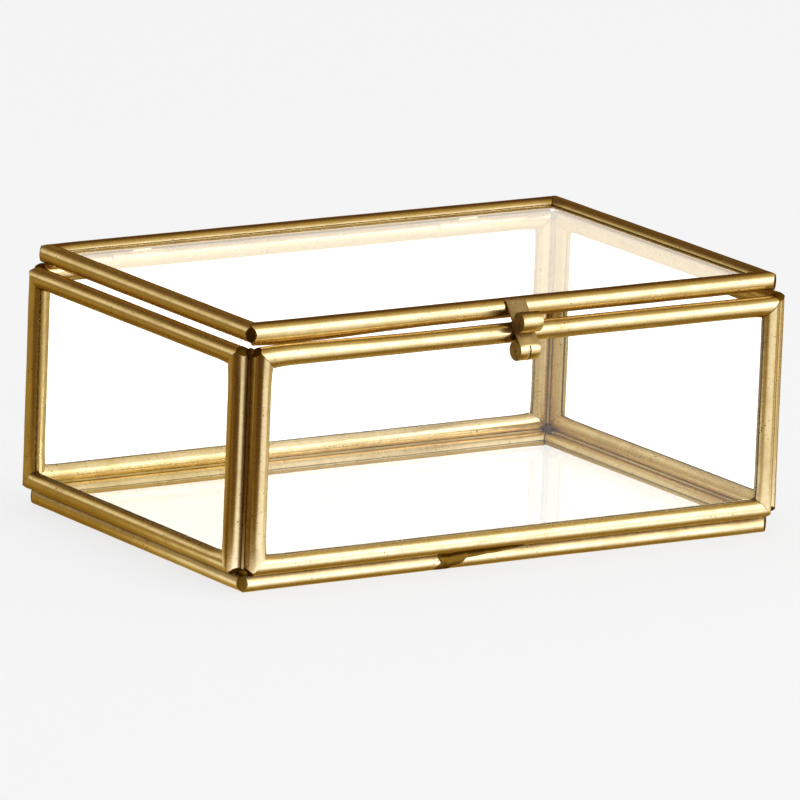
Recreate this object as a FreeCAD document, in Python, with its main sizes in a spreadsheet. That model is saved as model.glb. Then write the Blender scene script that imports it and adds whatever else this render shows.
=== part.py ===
import FreeCAD, Part
import math
import os
import re
import Sketcher
from FreeCAD import Placement, Rotation, Vector

# A glass keepsake box. Six clear panes are each framed by four slit brass tubes, mitred at the corners.
# The walls and the base are soldered together, and the lid swings on two barrel hinges at the back.
# Millimetres, +Z up, the clasp at the front (-Y), the origin under the middle of the whole footprint.

DRIVING_SIZES = {
    # Outside of the walls, over the tubes
    "box_width": 150.0,
    "box_depth": 100.0,
    "wall_height": 52.7,
    # Edge tubes and the panes that they hold
    "tube_diameter": 4.8,
    "tube_wall": 0.5,
    "corner_clip": 1.4,
    "rest_flat": 0.15,
    "glass_thickness": 2.0,
    "glass_play": 0.05,
    "glass_grip": 0.7,
    # Solder between neighbouring tubes, and the thin film under a soldered strip
    "solder_gap": 0.3,
    "solder_film": 0.02,
    "seam_width": 1.6,
    # The base lies in from the walls, with its tubes against the walls' lowest ones
    "base_inset": 2.75,
    # The lid lies further in than the walls, above a gap that takes two strips
    "lid_inset": 2.95,
    "strap_thickness": 0.4,
    "strap_clearance": 0.26,
    "strap_wrap_angle": 60.0,
    "lid_strap_wrap_angle": 22.0,
    # Clasp: a curl on the lid over a curl on the front wall, a little left of the middle
    "clasp_width": 5.3,
    "clasp_offset": -0.8,
    "upper_curl_diameter": 4.9,
    "upper_curl_angle": 36.5,
    "lower_curl_diameter": 5.0,
    "lower_curl_slit": 0.3,
    "curl_glass_clearance": 0.1,
    "curl_gap": 0.12,
    # Hinges
    "hinge_inset": 30.0,
    "hinge_width": 14.0,
    "lid_knuckle_width": 5.0,
    "knuckle_side_play": 0.2,
    "knuckle_wrap_angle": 285.0,
    "pin_diameter": 1.2,
    "pin_play": 0.05,
    "pin_head_diameter": 1.9,
    "pin_head_height": 0.45,
    "pin_end_play": 0.1,
    "lid_stop_gap": 0.4,
}

DERIVED_SIZES = {
    "tube_radius": "tube_diameter / 2",
    "bore_radius": "tube_radius - tube_wall",
    "slit_half": "glass_thickness / 2 + glass_play",
    # Soldered neighbours lie side by side: diagonally at the corners, where each step is one leg of a square,
    # and with the base as far under the walls as its inset leaves
    "neighbour_pitch": "tube_diameter + solder_gap",
    "neighbour_step": "neighbour_pitch / sqrt(2)",
    "base_drop": "sqrt(neighbour_pitch ^ 2 - base_inset ^ 2)",
    # Half of the frame's sizes, measured to the tubes' centre lines
    "wall_x": "box_width / 2 - tube_radius",
    "wall_y": "box_depth / 2 - tube_radius",
    "inner_half_x": "wall_x - neighbour_step",
    "inner_half_y": "wall_y - neighbour_step",
    "wall_half_z": "(wall_height - tube_diameter) / 2",
    "base_half_x": "wall_x - base_inset",
    "base_half_y": "wall_y - base_inset",
    "lid_half_x": "wall_x - lid_inset",
    "lid_half_y": "wall_y - lid_inset",
    # Heights of the tubes' centre lines
    "base_z": "tube_radius - rest_flat",
    "wall_low_z": "base_z + base_drop",
    "wall_mid_z": "wall_low_z + wall_half_z",
    "wall_high_z": "wall_mid_z + wall_half_z",
    "lid_gap": "2 * (strap_thickness + solder_film) + strap_clearance",
    "lid_pitch": "tube_diameter + lid_gap",
    "lid_rise": "sqrt(lid_pitch ^ 2 - lid_inset ^ 2)",
    "lid_z": "wall_high_z + lid_rise",
    # How far a clipped tip reaches past the corner of the centre lines, and where the solder in it starts
    "tip_reach": "tube_diameter - sqrt(2) * corner_clip",
    "fill_start": "glass_grip + glass_play",
    "fill_depth": "(tip_reach / 2 - fill_start) * sqrt(2)",
    # Middle line of a strip that is soldered round a tube
    "strap_radius": "tube_radius + solder_film + strap_thickness / 2",
    # Curls of the clasp, as distances in front of the box's middle
    "upper_curl_stand_off": "strap_radius + strap_thickness / 2 + strap_clearance + upper_curl_diameter / 2",
    "upper_curl_reach": "wall_y + upper_curl_stand_off * cos(upper_curl_angle)",
    "upper_curl_z": "wall_high_z + upper_curl_stand_off * sin(upper_curl_angle)",
    "lower_curl_stand_off": "tube_radius + solder_film + lower_curl_diameter / 2",
    "lower_curl_step": "glass_thickness / 2 + curl_glass_clearance + lower_curl_diameter / 2",
    "lower_curl_reach": "wall_y + lower_curl_step",
    "lower_curl_z": "wall_high_z - sqrt(lower_curl_stand_off ^ 2 - lower_curl_step ^ 2)",
    "curl_pitch": "strap_thickness + curl_gap",
    # The footprint runs from the back wall to the front of the upper curl
    "middle_y": "(upper_curl_reach + upper_curl_diameter / 2 - box_depth / 2) / 2",
    # Hinge line, level with the gap and outside it, so that the tubes meet when the lid lies fully open
    "hinge_offset": "(tube_diameter + lid_stop_gap) / 2",
    "hinge_reach": "(wall_y + lid_half_y) / 2 + hinge_offset * lid_rise / lid_pitch",
    "hinge_z": "(wall_high_z + lid_z) / 2 + hinge_offset * lid_inset / lid_pitch",
    "pin_radius": "pin_diameter / 2",
    "pin_head_radius": "pin_head_diameter / 2",
    "pin_half_length": "hinge_width / 2 + pin_end_play",
    "knuckle_radius": "pin_radius + pin_play + strap_thickness / 2",
    "knuckle_notch": "lid_knuckle_width + 2 * knuckle_side_play",
}

doc = FreeCAD.newDocument("glass_keepsake_box")
sheet = doc.addObject("Spreadsheet::Sheet", "Sizes")
for row, (name, value) in enumerate(DRIVING_SIZES.items(), start=1):
    sheet.set(f"A{row}", name)
    sheet.set(f"B{row}", str(value))
    sheet.setAlias(f"B{row}", name)
for row, (name, formula) in enumerate(DERIVED_SIZES.items(), start=1):
    sheet.set(f"D{row}", name)
    sheet.set(f"E{row}", f"={formula}")
    sheet.setAlias(f"E{row}", name)
doc.recompute()

pieces = {}


def size(name):
    """A value of the sheet, as a number."""
    return float(getattr(sheet, name))


def on_sheet(formula):
    """The same formula as an expression that other objects can use."""
    names = {*DRIVING_SIZES, *DERIVED_SIZES}
    return re.sub(r"[a-z]\w*", lambda word: f"Sizes.{word[0]}" if word[0] in names else word[0], formula)


def bind(target, prop, formula):
    target.setExpression(prop, on_sheet(formula))


def place(target, rotation, x="0", y="0", z="0"):
    """Turns an object and ties its position to the sheet."""
    target.Placement = Placement(Vector(), rotation)
    for axis, formula in zip("xyz", (x, y, z)):
        bind(target, f"Placement.Base.{axis}", formula)


def new_piece(kind, label, solids=1):
    """A piece that is written to a file of its own, and how many solids it has."""
    piece = doc.addObject(kind, label)
    piece.Label = label
    pieces[piece] = solids
    return piece


def new_sketch(body, role, name):
    """An empty sketch on one of the body's own origin planes."""
    plane = next(f for f in body.Origin.OriginFeatures if f.Role == role)
    sketch = body.newObject("Sketcher::SketchObject", f"{body.Label}_{name}")
    sketch.AttachmentSupport = [(plane, "")]
    sketch.MapMode = "FlatFace"
    return sketch


def add_polygon(sketch, corners):
    """A closed outline whose corners are pairs of formulas."""
    points = [Vector(*(sheet.evalExpression(formula) for formula in corner), 0) for corner in corners]
    first = sketch.GeometryCount
    count = len(points)
    for n in range(count):
        sketch.addGeometry(Part.LineSegment(points[n], points[(n + 1) % count]))
    for n in range(count):
        sketch.addConstraint(Sketcher.Constraint("Coincident", first + n, 2, first + (n + 1) % count, 1))
    for n, corner in enumerate(corners):
        for kind, formula, value in zip(("DistanceX", "DistanceY"), corner, points[n]):
            tie_point(sketch, kind, first + n, formula, value)


def add_rectangle(sketch, half_width, low, high):
    """A rectangle centred across the sketch, between two heights."""
    left, right = f"-{half_width}", half_width
    add_polygon(sketch, [(left, low), (right, low), (right, high), (left, high)])


def tie_point(sketch, kind, edge, formula, value):
    """Holds an edge's first point at a distance from the sketch's origin."""
    number = sketch.addConstraint(Sketcher.Constraint(kind, -1, 1, edge, 1, value))
    bind(sketch, f"Constraints[{number}]", formula)


def symmetric_pad(body, sketch, formula):
    pad = body.newObject("PartDesign::Pad", f"{body.Label}_pad")
    pad.Profile = sketch
    pad.SideType = "Symmetric"
    bind(pad, "Length", formula)
    sketch.Visibility = False


def pocket_through(body, sketch, name):
    """Cuts a sketch through the whole body, both ways from its plane."""
    pocket = body.newObject("PartDesign::Pocket", f"{body.Label}_{name}")
    pocket.Profile = sketch
    pocket.SideType = "Symmetric"
    pocket.Type = "ThroughAll"
    sketch.Visibility = False


# Edge tubes: round brass tube, slit along the side that takes the glass, mitred at both ends.
# Each lies along its own X, with the slit towards +Y and the panel's face along Z.


def draw_slit_ring(sketch):
    """The tube's section: a ring that is open where the glass goes in."""
    outer, bore, slit = size("tube_radius"), size("bore_radius"), size("slit_half")
    normal = Vector(0, 0, 1)
    turn = 2 * math.pi
    for radius in (outer, bore):
        start = math.asin(slit / radius)
        sketch.addGeometry(Part.ArcOfCircle(Part.Circle(Vector(), normal, radius), start, turn - start))
    for side in (slit, -slit):
        lip_in = Vector(math.sqrt(bore**2 - slit**2), side, 0)
        lip_out = Vector(math.sqrt(outer**2 - slit**2), side, 0)
        sketch.addGeometry(Part.LineSegment(lip_out, lip_in))
    for arc, radius in ((0, "tube_radius"), (1, "bore_radius")):
        sketch.addConstraint(Sketcher.Constraint("Coincident", arc, 3, -1, 1))
        number = sketch.addConstraint(Sketcher.Constraint("Radius", arc, size(radius)))
        bind(sketch, f"Constraints[{number}]", radius)
        for lip, arc_end in ((2, 1), (3, 2)):
            sketch.addConstraint(Sketcher.Constraint("Coincident", arc, arc_end, lip, arc + 1))
    for lip, formula in ((2, "slit_half"), (3, "-slit_half")):
        sketch.addConstraint(Sketcher.Constraint("Horizontal", lip))
        tie_point(sketch, "DistanceY", lip, formula, sheet.evalExpression(formula))


def draw_mitres(sketch, half):
    """The waste beyond both ends: outside the mitre line, and outside the line that clips its tip."""
    far = f"({half} + 2 * tube_diameter)"
    for sign in ("", "-"):
        corners = [
            (f"{sign}({half} - tube_diameter)", "tube_diameter"),
            (f"{sign}({half} + tip_reach / 2)", "-tip_reach / 2"),
            (f"{sign}({half} + tip_reach - tube_diameter)", "-tube_diameter"),
            (f"{sign}{far}", "-tube_diameter"),
            (f"{sign}{far}", "tube_diameter"),
        ]
        add_polygon(sketch, corners)


def make_tube(label, half, rotation, position, stands=False):
    """An edge tube whose centre lines' corners lie half the given length either way."""
    body = new_piece("PartDesign::Body", label)
    section = new_sketch(body, "YZ_Plane", "section")
    draw_slit_ring(section)
    symmetric_pad(body, section, f"2 * ({half} + tube_radius)")
    mitres = new_sketch(body, "XY_Plane", "mitres")
    draw_mitres(mitres, half)
    pocket_through(body, mitres, "mitre_cut")
    if stands:
        flat = new_sketch(body, "XZ_Plane", "flat")
        add_rectangle(flat, f"({half} + tube_diameter)", "-tube_diameter", "rest_flat - tube_radius")
        pocket_through(body, flat, "rest_cut")
    place(body, rotation, *position)


# Panes: plain cut glass, a running fit in the tubes' slits and gripped past the tubes' middle.


def make_pane(label, half_u, half_v, rotation, centre, u_axis, v_axis):
    pane = new_piece("Part::Box", label)
    bind(pane, "Length", f"2 * ({half_u} + glass_grip)")
    bind(pane, "Width", f"2 * ({half_v} + glass_grip)")
    bind(pane, "Height", "glass_thickness")
    normal = u_axis.cross(v_axis)
    corner = []
    for n in range(3):
        steps = ((u_axis[n], f"({half_u} + glass_grip)"), (v_axis[n], f"({half_v} + glass_grip)"))
        back = [f" - ({round(share)}) * {length}" for share, length in steps if round(share)]
        depth = f" - ({round(normal[n])}) * glass_thickness / 2" if round(normal[n]) else ""
        corner.append(centre[n] + "".join(back) + depth)
    place(pane, rotation, *corner)


# Mitre solder: a plug in the mouth of each mitred corner, filed flush with the clipped tips. It joins the tubes.


def in_panel(centre, axes, steps):
    """The formulas of a point that lies at the given steps along a panel's axes from its centre."""
    point = list(centre)
    for axis, step in zip(axes, steps):
        for n in range(3):
            if round(axis[n]):
                point[n] += f" + ({round(axis[n])}) * ({step})"
    return point


def make_mitre_solder(name, centre, u_axis, v_axis, half_u, half_v):
    """Four slabs, one across each corner's diagonal, each kept to what lies in the bores of both tubes there."""
    axes = (u_axis, v_axis, u_axis.cross(v_axis))
    facing = Rotation(*axes, "ZXY")
    bores = {}
    for n, (half, offset) in enumerate(((half_u, half_v), (half_v, half_u))):
        for sign in (1, -1):
            bore = doc.addObject("Part::Cylinder", f"{name}_bore_{n}_{sign}")
            bind(bore, "Radius", "bore_radius - solder_film")
            bind(bore, "Height", f"2 * ({half} + tube_diameter)")
            steps = [f"-({half} + tube_diameter)", f"({sign}) * {offset}"]
            place(bore, Rotation(Z, axes[n]), *in_panel(centre, (axes[n], axes[1 - n]), steps))
            bores[n, sign] = bore
    plugs = []
    for quarter, (u_sign, v_sign) in enumerate(((1, 1), (-1, 1), (-1, -1), (1, -1))):
        slab = doc.addObject("Part::Box", f"{name}_slab_{quarter}")
        bind(slab, "Length", "fill_depth")
        bind(slab, "Width", "sqrt(2) * tube_diameter")
        bind(slab, "Height", "tube_diameter")
        steps = (
            f"({u_sign}) * ({half_u} + fill_start) + ({v_sign}) * tube_radius",
            f"({v_sign}) * ({half_v} + fill_start) - ({u_sign}) * tube_radius",
            "-tube_radius",
        )
        place(slab, facing * Rotation(Z, 45 + 90 * quarter), *in_panel(centre, axes, steps))
        plug = slab
        for bore in (bores[0, v_sign], bores[1, u_sign]):
            common = doc.addObject("Part::Common", f"{name}_plug_{quarter}")
            common.Base = plug
            common.Tool = bore
            plug = common
        plugs.append(plug)
    solder = new_piece("Part::Compound", f"{name}_mitre_solder", solids=len(plugs))
    solder.Links = plugs


# Panels: one pane and four tubes. A panel's frame has U to its right, V up its face and its face along Z.


def make_panel(name, centre, u_axis, v_axis, half_u, half_v, tubes, stands=False):
    """The tube names go round the panel from the V-low side, turning from U towards V."""
    facing = Rotation(u_axis, v_axis, u_axis.cross(v_axis), "ZXY")
    make_pane(f"{name}_glass", half_u, half_v, facing, centre, u_axis, v_axis)
    make_mitre_solder(name, centre, u_axis, v_axis, half_u, half_v)
    sides = ((v_axis, -1, half_v), (u_axis, 1, half_u), (v_axis, 1, half_v), (u_axis, -1, half_u))
    for quarter, (tube, (axis, sign, offset)) in enumerate(zip(tubes, sides)):
        position = []
        for n in range(3):
            share = round(axis[n]) * sign
            position.append(centre[n] + (f" + ({share}) * {offset}" if share else ""))
        rotation = facing * Rotation(Vector(0, 0, 1), 90 * quarter)
        half = half_u if quarter % 2 == 0 else half_v
        make_tube(f"{name}_{tube}", half, rotation, position, stands)


X, Y, Z = Vector(1, 0, 0), Vector(0, 1, 0), Vector(0, 0, 1)
FRONT_TUBES = ("bottom_rail", "right_post", "top_rail", "left_post")
SIDE_TUBES = ("bottom_rail", "back_post", "top_rail", "front_post")
FLAT_TUBES = ("front_rail", "right_rail", "back_rail", "left_rail")

for name, y in (("front", "middle_y - wall_y"), ("back", "middle_y + wall_y")):
    make_panel(name, ("0", y, "wall_mid_z"), X, Z, "inner_half_x", "wall_half_z", FRONT_TUBES)
for name, x in (("left", "-wall_x"), ("right", "wall_x")):
    make_panel(name, (x, "middle_y", "wall_mid_z"), Y, Z, "inner_half_y", "wall_half_z", SIDE_TUBES)
make_panel("base", ("0", "middle_y", "base_z"), X, Y, "base_half_x", "base_half_y", FLAT_TUBES, stands=True)
make_panel("lid", ("0", "middle_y", "lid_z"), X, Y, "lid_half_x", "lid_half_y", FLAT_TUBES)


# Solder seams: the neck of solder that fills the line where two neighbouring tubes almost touch.


def make_seam(label, along, rotation, middle, length, tubes):
    """A square rod on its edge, hollowed on two sides by the tubes that it joins."""
    rod = doc.addObject("Part::Box", f"{label}_rod")
    for n, prop in enumerate(("Length", "Width", "Height")):
        bind(rod, prop, length if n == along else "seam_width")
    inwards = rotation.multVec(Vector(*(0 if n == along else 0.5 for n in range(3))))
    corner = []
    for n in range(3):
        if n == along:
            corner.append(f"{middle[n]} - {length} / 2")
        else:
            corner.append(f"{middle[n]} - ({round(inwards[n] * math.sqrt(2))}) * seam_width / sqrt(2)")
    place(rod, rotation, *corner)
    solid = rod
    lie_along = Rotation(Z, (X, Y, Z)[along])
    for number, tube in enumerate(tubes, start=1):
        cutter = doc.addObject("Part::Cylinder", f"{label}_tube_{number}")
        bind(cutter, "Radius", "tube_radius + solder_film")
        bind(cutter, "Height", f"{length} + tube_diameter")
        start = [f"{tube[n]} - ({length} + tube_diameter) / 2" if n == along else tube[n] for n in range(3)]
        place(cutter, lie_along, *start)
        last = number == len(tubes)
        cut = new_piece("Part::Cut", label) if last else doc.addObject("Part::Cut", f"{label}_half")
        cut.Base = solid
        cut.Tool = cutter
        solid = cut


for front_name, front_sign in (("front", "-"), ("back", "+")):
    for side_name, side_sign in (("left", "-"), ("right", "+")):
        middle = (
            f"0 {side_sign} (wall_x - neighbour_step / 2)",
            f"middle_y {front_sign} (wall_y - neighbour_step / 2)",
            "wall_mid_z",
        )
        tubes = (
            (f"0 {side_sign} inner_half_x", f"middle_y {front_sign} wall_y", "wall_mid_z"),
            (f"0 {side_sign} wall_x", f"middle_y {front_sign} inner_half_y", "wall_mid_z"),
        )
        seam = f"{front_name}_{side_name}_corner_solder"
        make_seam(seam, 2, Rotation(Z, 45), middle, "(2 * wall_half_z + seam_width)", tubes)

for name, sign in (("front", "-"), ("back", "+")):
    tubes = (("0", f"middle_y {sign} base_half_y", "base_z"), ("0", f"middle_y {sign} wall_y", "wall_low_z"))
    middle = ("0", f"middle_y {sign} (wall_y - base_inset / 2)", "base_z + base_drop / 2")
    make_seam(f"base_{name}_solder", 0, Rotation(X, 45), middle, "2 * inner_half_x", tubes)

for name, sign in (("left", "-"), ("right", "+")):
    tubes = ((f"0 {sign} base_half_x", "middle_y", "base_z"), (f"0 {sign} wall_x", "middle_y", "wall_low_z"))
    middle = (f"0 {sign} (wall_x - base_inset / 2)", "middle_y", "base_z + base_drop / 2")
    make_seam(f"base_{name}_solder", 1, Rotation(Y, 45), middle, "2 * inner_half_y", tubes)


# Bent strips: flat brass strip, soldered round a tube at one end and rolled up at the other. A strip's
# middle line is drawn in the plane of outward distance and height, as bends joined by straight runs.
# A bend is its centre, its radius (positive where it turns left) and the headings where it starts and ends.


def left_of(heading):
    return Vector(-math.sin(heading), math.cos(heading), 0)


def straight_heading(centre_a, radius_a, centre_b, radius_b):
    """The heading of the straight run that touches two bends."""
    apart = centre_a - centre_b
    return math.atan2(-apart.x, apart.y) - math.acos((radius_a - radius_b) / apart.Length)


def bent_line(bends, offset):
    """The edges of a strip's line, moved to the left by an offset."""
    edges = []
    last = None
    for centre, radius, start, end in bends:
        headings = (start, (start + end) / 2, end)
        points = [centre - left_of(heading) * (radius - offset) for heading in headings]
        if last is not None and (last - points[0]).Length > 1e-6:
            edges.append((last, points[0]))
        edges.append(tuple(points))
        last = points[-1]
    return edges


def draw_strip(sketch, bends):
    """The strip's outline: its left face, its rolled end, its right face and its soldered end."""
    half = size("strap_thickness") / 2
    left = bent_line(bends, half)
    right = [edge[::-1] for edge in reversed(bent_line(bends, -half))]
    outline = [*left, (left[-1][-1], right[0][0]), *right, (right[-1][-1], left[0][0])]
    for edge in outline:
        shape = Part.LineSegment(*edge) if len(edge) == 2 else Part.ArcOfCircle(*edge)
        sketch.addGeometry(shape)
    for n in range(len(outline)):
        follows = (n + 1) % len(outline)
        ends = [joint_end(sketch, n, outline[n][-1]), joint_end(sketch, follows, outline[n][-1])]
        sketch.addConstraint(Sketcher.Constraint("Coincident", n, ends[0], follows, ends[1]))
        sketch.addConstraint(Sketcher.Constraint("Block", n))


def joint_end(sketch, edge, point):
    """Which end of an edge, the first or the second, lies at a point."""
    distances = [(sketch.getPoint(edge, end) - point).Length for end in (1, 2)]
    return 1 + distances.index(min(distances))


def make_strip(label, bends, width, rotation, x="0"):
    body = new_piece("PartDesign::Body", label)
    profile = new_sketch(body, "YZ_Plane", "profile")
    draw_strip(profile, bends)
    symmetric_pad(body, profile, width)
    place(body, rotation, x, "middle_y", "0")
    return body


def strip_round_tube(tube, turn, curl, curl_radius, wrap_angle="strap_wrap_angle"):
    """The soldered bend round a tube, and the heading at which the strip leaves it for a curl."""
    radius = turn * size("strap_radius")
    heading = straight_heading(tube, radius, curl, curl_radius)
    wrap = math.radians(size(wrap_angle))
    return [(tube, radius, heading - turn * wrap, heading)], heading


def rolled_curl(centre, radius, heading):
    """A curl that winds in on itself by half turns, until the next would be tighter than the strip is thick."""
    turn = math.copysign(1, radius)
    bends = []
    while turn * radius >= size("strap_thickness"):
        end = heading + turn * math.pi
        bends.append((centre, radius, heading, end))
        tighter = radius - turn * size("curl_pitch") / 2
        centre = centre - left_of(end) * (radius - tighter)
        radius, heading = tighter, end
    return bends


FORWARDS = Rotation(Z, 180)
BACKWARDS = Rotation()
lid_tube = Vector(size("lid_half_y"), size("lid_z"), 0)
wall_tube = Vector(size("wall_y"), size("wall_high_z"), 0)
half_strap = size("strap_thickness") / 2

# Clasp: the lid's strip comes down the front of the lid's tube and curls forwards and up. Its curl rests in front
# of the shoulder of the wall's strip, which slopes down to a curl of its own under the wall's top tube.
upper_curl = Vector(size("upper_curl_reach"), size("upper_curl_z"), 0)
upper_radius = size("upper_curl_diameter") / 2 - half_strap
bends, heading = strip_round_tube(lid_tube, -1, upper_curl, upper_radius, "lid_strap_wrap_angle")
bends += rolled_curl(upper_curl, upper_radius, heading)
make_strip("lid_clasp_curl", bends, "clasp_width", FORWARDS, "clasp_offset")

lower_curl = Vector(size("lower_curl_reach"), size("lower_curl_z"), 0)
lower_radius = half_strap - size("lower_curl_diameter") / 2
bends, heading = strip_round_tube(wall_tube, -1, lower_curl, lower_radius)
bends += rolled_curl(lower_curl, lower_radius, heading)
lower = make_strip("body_clasp_curl", bends, "clasp_width", FORWARDS, "clasp_offset")
slit = new_sketch(lower, "XZ_Plane", "slit")
slit_low = "lower_curl_z - lower_curl_diameter"
slit_high = "lower_curl_z + lower_curl_diameter / 4"
slit_side = "lower_curl_slit / 2"
add_rectangle(slit, slit_side, slit_low, slit_high)
pocket_through(lower, slit, "slit_cut")

# Hinges: the wall's leaf has a knuckle at each end and a notch between them for the lid's one knuckle.
# A wire pin with a peened head at each end runs through all three.
hinge_line = Vector(size("hinge_reach"), size("hinge_z"), 0)
knuckle = size("knuckle_radius")
knuckle_turn = math.radians(size("knuckle_wrap_angle"))
lid_leaf, heading = strip_round_tube(lid_tube, 1, hinge_line, -knuckle)
lid_leaf.append((hinge_line, -knuckle, heading, heading - knuckle_turn))
wall_leaf, heading = strip_round_tube(wall_tube, -1, hinge_line, knuckle)
wall_leaf.append((hinge_line, knuckle, heading, heading + knuckle_turn))
leaf_root = wall_tube + left_of(heading) * size("strap_radius")

for side, sign in (("left", "-"), ("right", "")):
    x = f"{sign}(box_width / 2 - hinge_inset)"
    make_strip(f"{side}_hinge_lid_leaf", lid_leaf, "lid_knuckle_width", BACKWARDS, x)
    leaf = make_strip(f"{side}_hinge_body_leaf", wall_leaf, "hinge_width", BACKWARDS, x)
    notch = new_sketch(leaf, "XY_Plane", "notch")
    add_rectangle(notch, "knuckle_notch / 2", f"{leaf_root.x}", "hinge_reach + 2 * knuckle_radius")
    pocket_through(leaf, notch, "notch_cut")

    pin = new_piece("PartDesign::Body", f"{side}_hinge_pin")
    profile = new_sketch(pin, "XY_Plane", "profile")
    tip = "(pin_half_length + pin_head_height)"
    shoulder = "(pin_half_length + pin_head_height / 2)"
    half_outline = [
        (tip, "0"),
        (tip, "pin_radius"),
        (shoulder, "pin_head_radius"),
        ("pin_half_length", "pin_head_radius"),
        ("pin_half_length", "pin_radius"),
    ]
    other_half = [(f"-{across}", up) for across, up in reversed(half_outline)]
    add_polygon(profile, half_outline + other_half)
    turned = pin.newObject("PartDesign::Revolution", f"{side}_hinge_pin_turned")
    turned.Profile = profile
    turned.ReferenceAxis = (profile, ["H_Axis"])
    turned.Angle = 360
    profile.Visibility = False
    place(pin, BACKWARDS, x, "middle_y + hinge_reach", "hinge_z")

doc.recompute()

# Every object has to have worked, and every piece has to be made of closed, valid solids, before it is written.
for item in doc.Objects:
    if "Invalid" in item.State or "Error" in item.State:
        raise RuntimeError(f"{item.Label} failed: {item.State}")
for piece, solids in pieces.items():
    shape = piece.Shape
    if shape.isNull() or not shape.isValid() or len(shape.Solids) != solids or shape.Volume <= 0:
        raise RuntimeError(f"{piece.Label} is not made of {solids} valid solids")

os.makedirs("parts", exist_ok=True)
whole = FreeCAD.BoundBox()
for piece in pieces:
    piece.Shape.exportStep(f"parts/{piece.Label}.step")
    whole.add(piece.Shape.BoundBox)
print(len(pieces), "pieces,", f"{whole.XLength:.2f} x {whole.YLength:.2f} x {whole.ZLength:.2f} mm")
print("lowest corner", [round(v, 3) for v in (whole.XMin, whole.YMin, whole.ZMin)])
print("hinge line", round(size("middle_y") + size("hinge_reach"), 4), round(size("hinge_z"), 4))
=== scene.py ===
import math
import random

import bmesh
import bpy
from mathutils import Matrix, Vector, noise


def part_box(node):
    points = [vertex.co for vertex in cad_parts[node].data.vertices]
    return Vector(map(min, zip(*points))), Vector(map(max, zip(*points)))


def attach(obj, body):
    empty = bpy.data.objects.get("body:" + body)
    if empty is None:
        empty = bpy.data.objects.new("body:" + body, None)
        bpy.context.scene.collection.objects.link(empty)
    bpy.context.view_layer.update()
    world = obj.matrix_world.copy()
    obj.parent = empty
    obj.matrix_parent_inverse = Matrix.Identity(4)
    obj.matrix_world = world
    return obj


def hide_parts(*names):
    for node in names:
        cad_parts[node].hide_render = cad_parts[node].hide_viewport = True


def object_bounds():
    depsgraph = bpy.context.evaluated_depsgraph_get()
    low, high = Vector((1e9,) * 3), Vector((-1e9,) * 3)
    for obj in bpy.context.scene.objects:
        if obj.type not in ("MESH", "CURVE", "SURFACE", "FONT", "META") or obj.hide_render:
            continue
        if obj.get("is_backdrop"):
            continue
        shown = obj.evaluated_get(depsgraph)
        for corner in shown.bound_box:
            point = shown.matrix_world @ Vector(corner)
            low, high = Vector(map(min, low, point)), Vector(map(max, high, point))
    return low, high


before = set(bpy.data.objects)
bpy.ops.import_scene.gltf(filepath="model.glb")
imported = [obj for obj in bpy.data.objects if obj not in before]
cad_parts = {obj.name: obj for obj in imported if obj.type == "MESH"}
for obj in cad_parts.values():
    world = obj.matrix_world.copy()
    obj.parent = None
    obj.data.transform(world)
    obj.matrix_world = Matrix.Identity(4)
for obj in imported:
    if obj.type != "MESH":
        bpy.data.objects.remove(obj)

cad_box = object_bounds()

# Edge tubes: twenty-four lengths of thin round brass tube, slit along one side to take the glass.
# Each is sawn to a mitre at both ends, with its tip filed off. The tubes are a little bowed and dented,
# and the saw has left every end slightly out of round.

MM = 0.001
TUBE_SIDES = 42
RING_SPACING = 1.5 * MM
TUBE_WALL = 0.5 * MM
SLIT_HALF = 1.05 * MM
TIP_CLIP = 1.4 * MM
MITRE_GAP = 0.09 * MM
REST_FLAT = 0.15 * MM
END_LENGTH = 5.0 * MM
DENT_DEPTH = 0.10 * MM
DENT_SCALE = 70.0
BOW_DEPTH = 0.10 * MM
BOW_SCALE = 18.0
CHANCE_OPENING = 0.4 * MM
CHANCE_SWELLING = (-0.05, 0.07)
MERGE_DISTANCE = 0.002 * MM
SMOOTH_ANGLE = math.radians(40)
# Painted shade: the name of the attribute that marks it, and how near a tube beside it must lie
PAINTED_SHADE_ATTRIBUTE = "painted_shade"
PAINTED_SHADE_REACH = 8.0 * MM
# Patches in a metre: of tarnish, mottling, grain and pits, and of the places where pits crowd
TARNISH_SCALE = 85.0
MOTTLE_SCALE = 520.0
GRAIN_SCALE = 2300.0
PIT_SCALE = 900.0
PIT_CROWD_SCALE = 160.0
PATCH_ROUGHNESS = 0.55
SURFACE_DEPTH = 0.12 * MM

lid_low, lid_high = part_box("lid_front_rail")
TUBE_RADIUS = (lid_high.z - lid_low.z) / 2

# The panels: the axes that run along and up each face, its tubes in turn from the lower side, and its body
X, Y, Z = (Vector(axis) for axis in ((1, 0, 0), (0, 1, 0), (0, 0, 1)))
UPRIGHT_TUBES = ("bottom_rail", "right_post", "top_rail", "left_post")
END_TUBES = ("bottom_rail", "back_post", "top_rail", "front_post")
FLAT_TUBES = ("front_rail", "right_rail", "back_rail", "left_rail")
PANELS = {
    "front": (X, Z, UPRIGHT_TUBES, "box"),
    "back": (X, Z, UPRIGHT_TUBES, "box"),
    "left": (Y, Z, END_TUBES, "box"),
    "right": (Y, Z, END_TUBES, "box"),
    "base": (X, Y, FLAT_TUBES, "box"),
    "lid": (X, Y, FLAT_TUBES, "lid"),
}

# How far an end opens towards the glass, how much it swells across the panel and how far its mitre gapes,
# for a tube's start and its finish
SHAPED_ENDS = {
    "left_front_post": ((0.3 * MM, 0.06, 0.0), (0.3 * MM, 0.04, 0.22)),
    "front_left_post": ((0.3 * MM, 0.05, 0.0), (0.4 * MM, 0.06, 0.0)),
    "lid_front_rail": ((0.0, 0.02, 0.0), (0.2 * MM, 0.0, 0.0)),
}

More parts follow.
